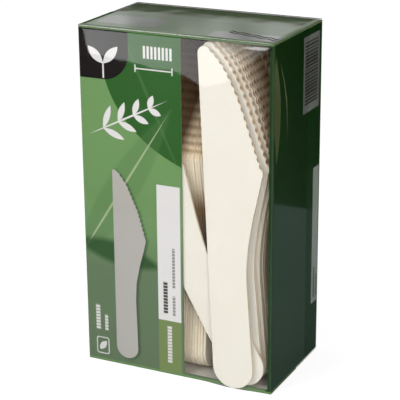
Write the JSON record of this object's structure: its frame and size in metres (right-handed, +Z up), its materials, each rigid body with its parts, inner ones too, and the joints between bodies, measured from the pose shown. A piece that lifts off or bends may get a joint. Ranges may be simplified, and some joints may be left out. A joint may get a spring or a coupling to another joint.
{
  "type": "pack of paper knives",
  "caption": "Upright folding carton with a tall window at the right of its front, filled with flat toothed paper knives and wrapped in clear shrink film.",
  "frame": {"origin": "middle of the carton's footprint, on the underside of the film that the pack stands on", "axes": "+Z up along the knives, +X to the right and -Y out of the window, seen from the front"},
  "size_m": [0.0946, 0.057, 0.162],
  "materials": {
    "printed_board": "offset-printed folding board, satin varnish",
    "knife_board": "uncoated pressed paper board, matt cream",
    "clear_film": "clear glossy shrink film"
  },
  "bodies": {
    "root": {"carton": "printed_board", "film": "clear_film", "front_knife": "knife_board", "leaning_knife": "knife_board", "rear_left_bundle_1": "knife_board", "rear_left_bundle_2": "knife_board", "rear_right_bundle_1": "knife_board", "rear_right_bundle_2": "knife_board", "right_knife_01": "knife_board", "right_knife_02": "knife_board", "right_knife_03": "knife_board", "right_knife_04": "knife_board", "right_knife_05": "knife_board", "right_knife_06": "knife_board", "right_knife_07": "knife_board", "right_knife_08": "knife_board", "right_knife_09": "knife_board", "right_knife_10": "knife_board", "right_knife_11": "knife_board", "right_knife_12": "knife_board", "right_knife_13": "knife_board", "right_knife_14": "knife_board", "right_knife_15": "knife_board", "right_knife_16": "knife_board", "right_knife_17": "knife_board", "right_knife_18": "knife_board", "right_knife_19": "knife_board", "right_knife_20": "knife_board", "right_knife_21": "knife_board", "right_knife_22": "knife_board", "right_knife_23": "knife_board", "right_knife_24": "knife_board", "right_knife_25": "knife_board", "right_knife_26": "knife_board", "right_knife_27": "knife_board", "right_knife_28": "knife_board", "right_knife_29": "knife_board", "right_knife_30": "knife_board", "right_knife_31": "knife_board", "right_knife_32": "knife_board", "right_knife_33": "knife_board", "right_knife_34": "knife_board", "right_knife_35": "knife_board", "right_knife_36": "knife_board", "side_bundle_01": "knife_board", "side_bundle_02": "knife_board", "side_bundle_03": "knife_board", "side_bundle_04": "knife_board", "side_bundle_05": "knife_board", "side_bundle_06": "knife_board", "side_knife_01": "knife_board", "side_knife_02": "knife_board", "side_knife_03": "knife_board", "side_knife_04": "knife_board", "side_knife_05": "knife_board", "side_knife_06": "knife_board"}
  },
  "joints": []
}
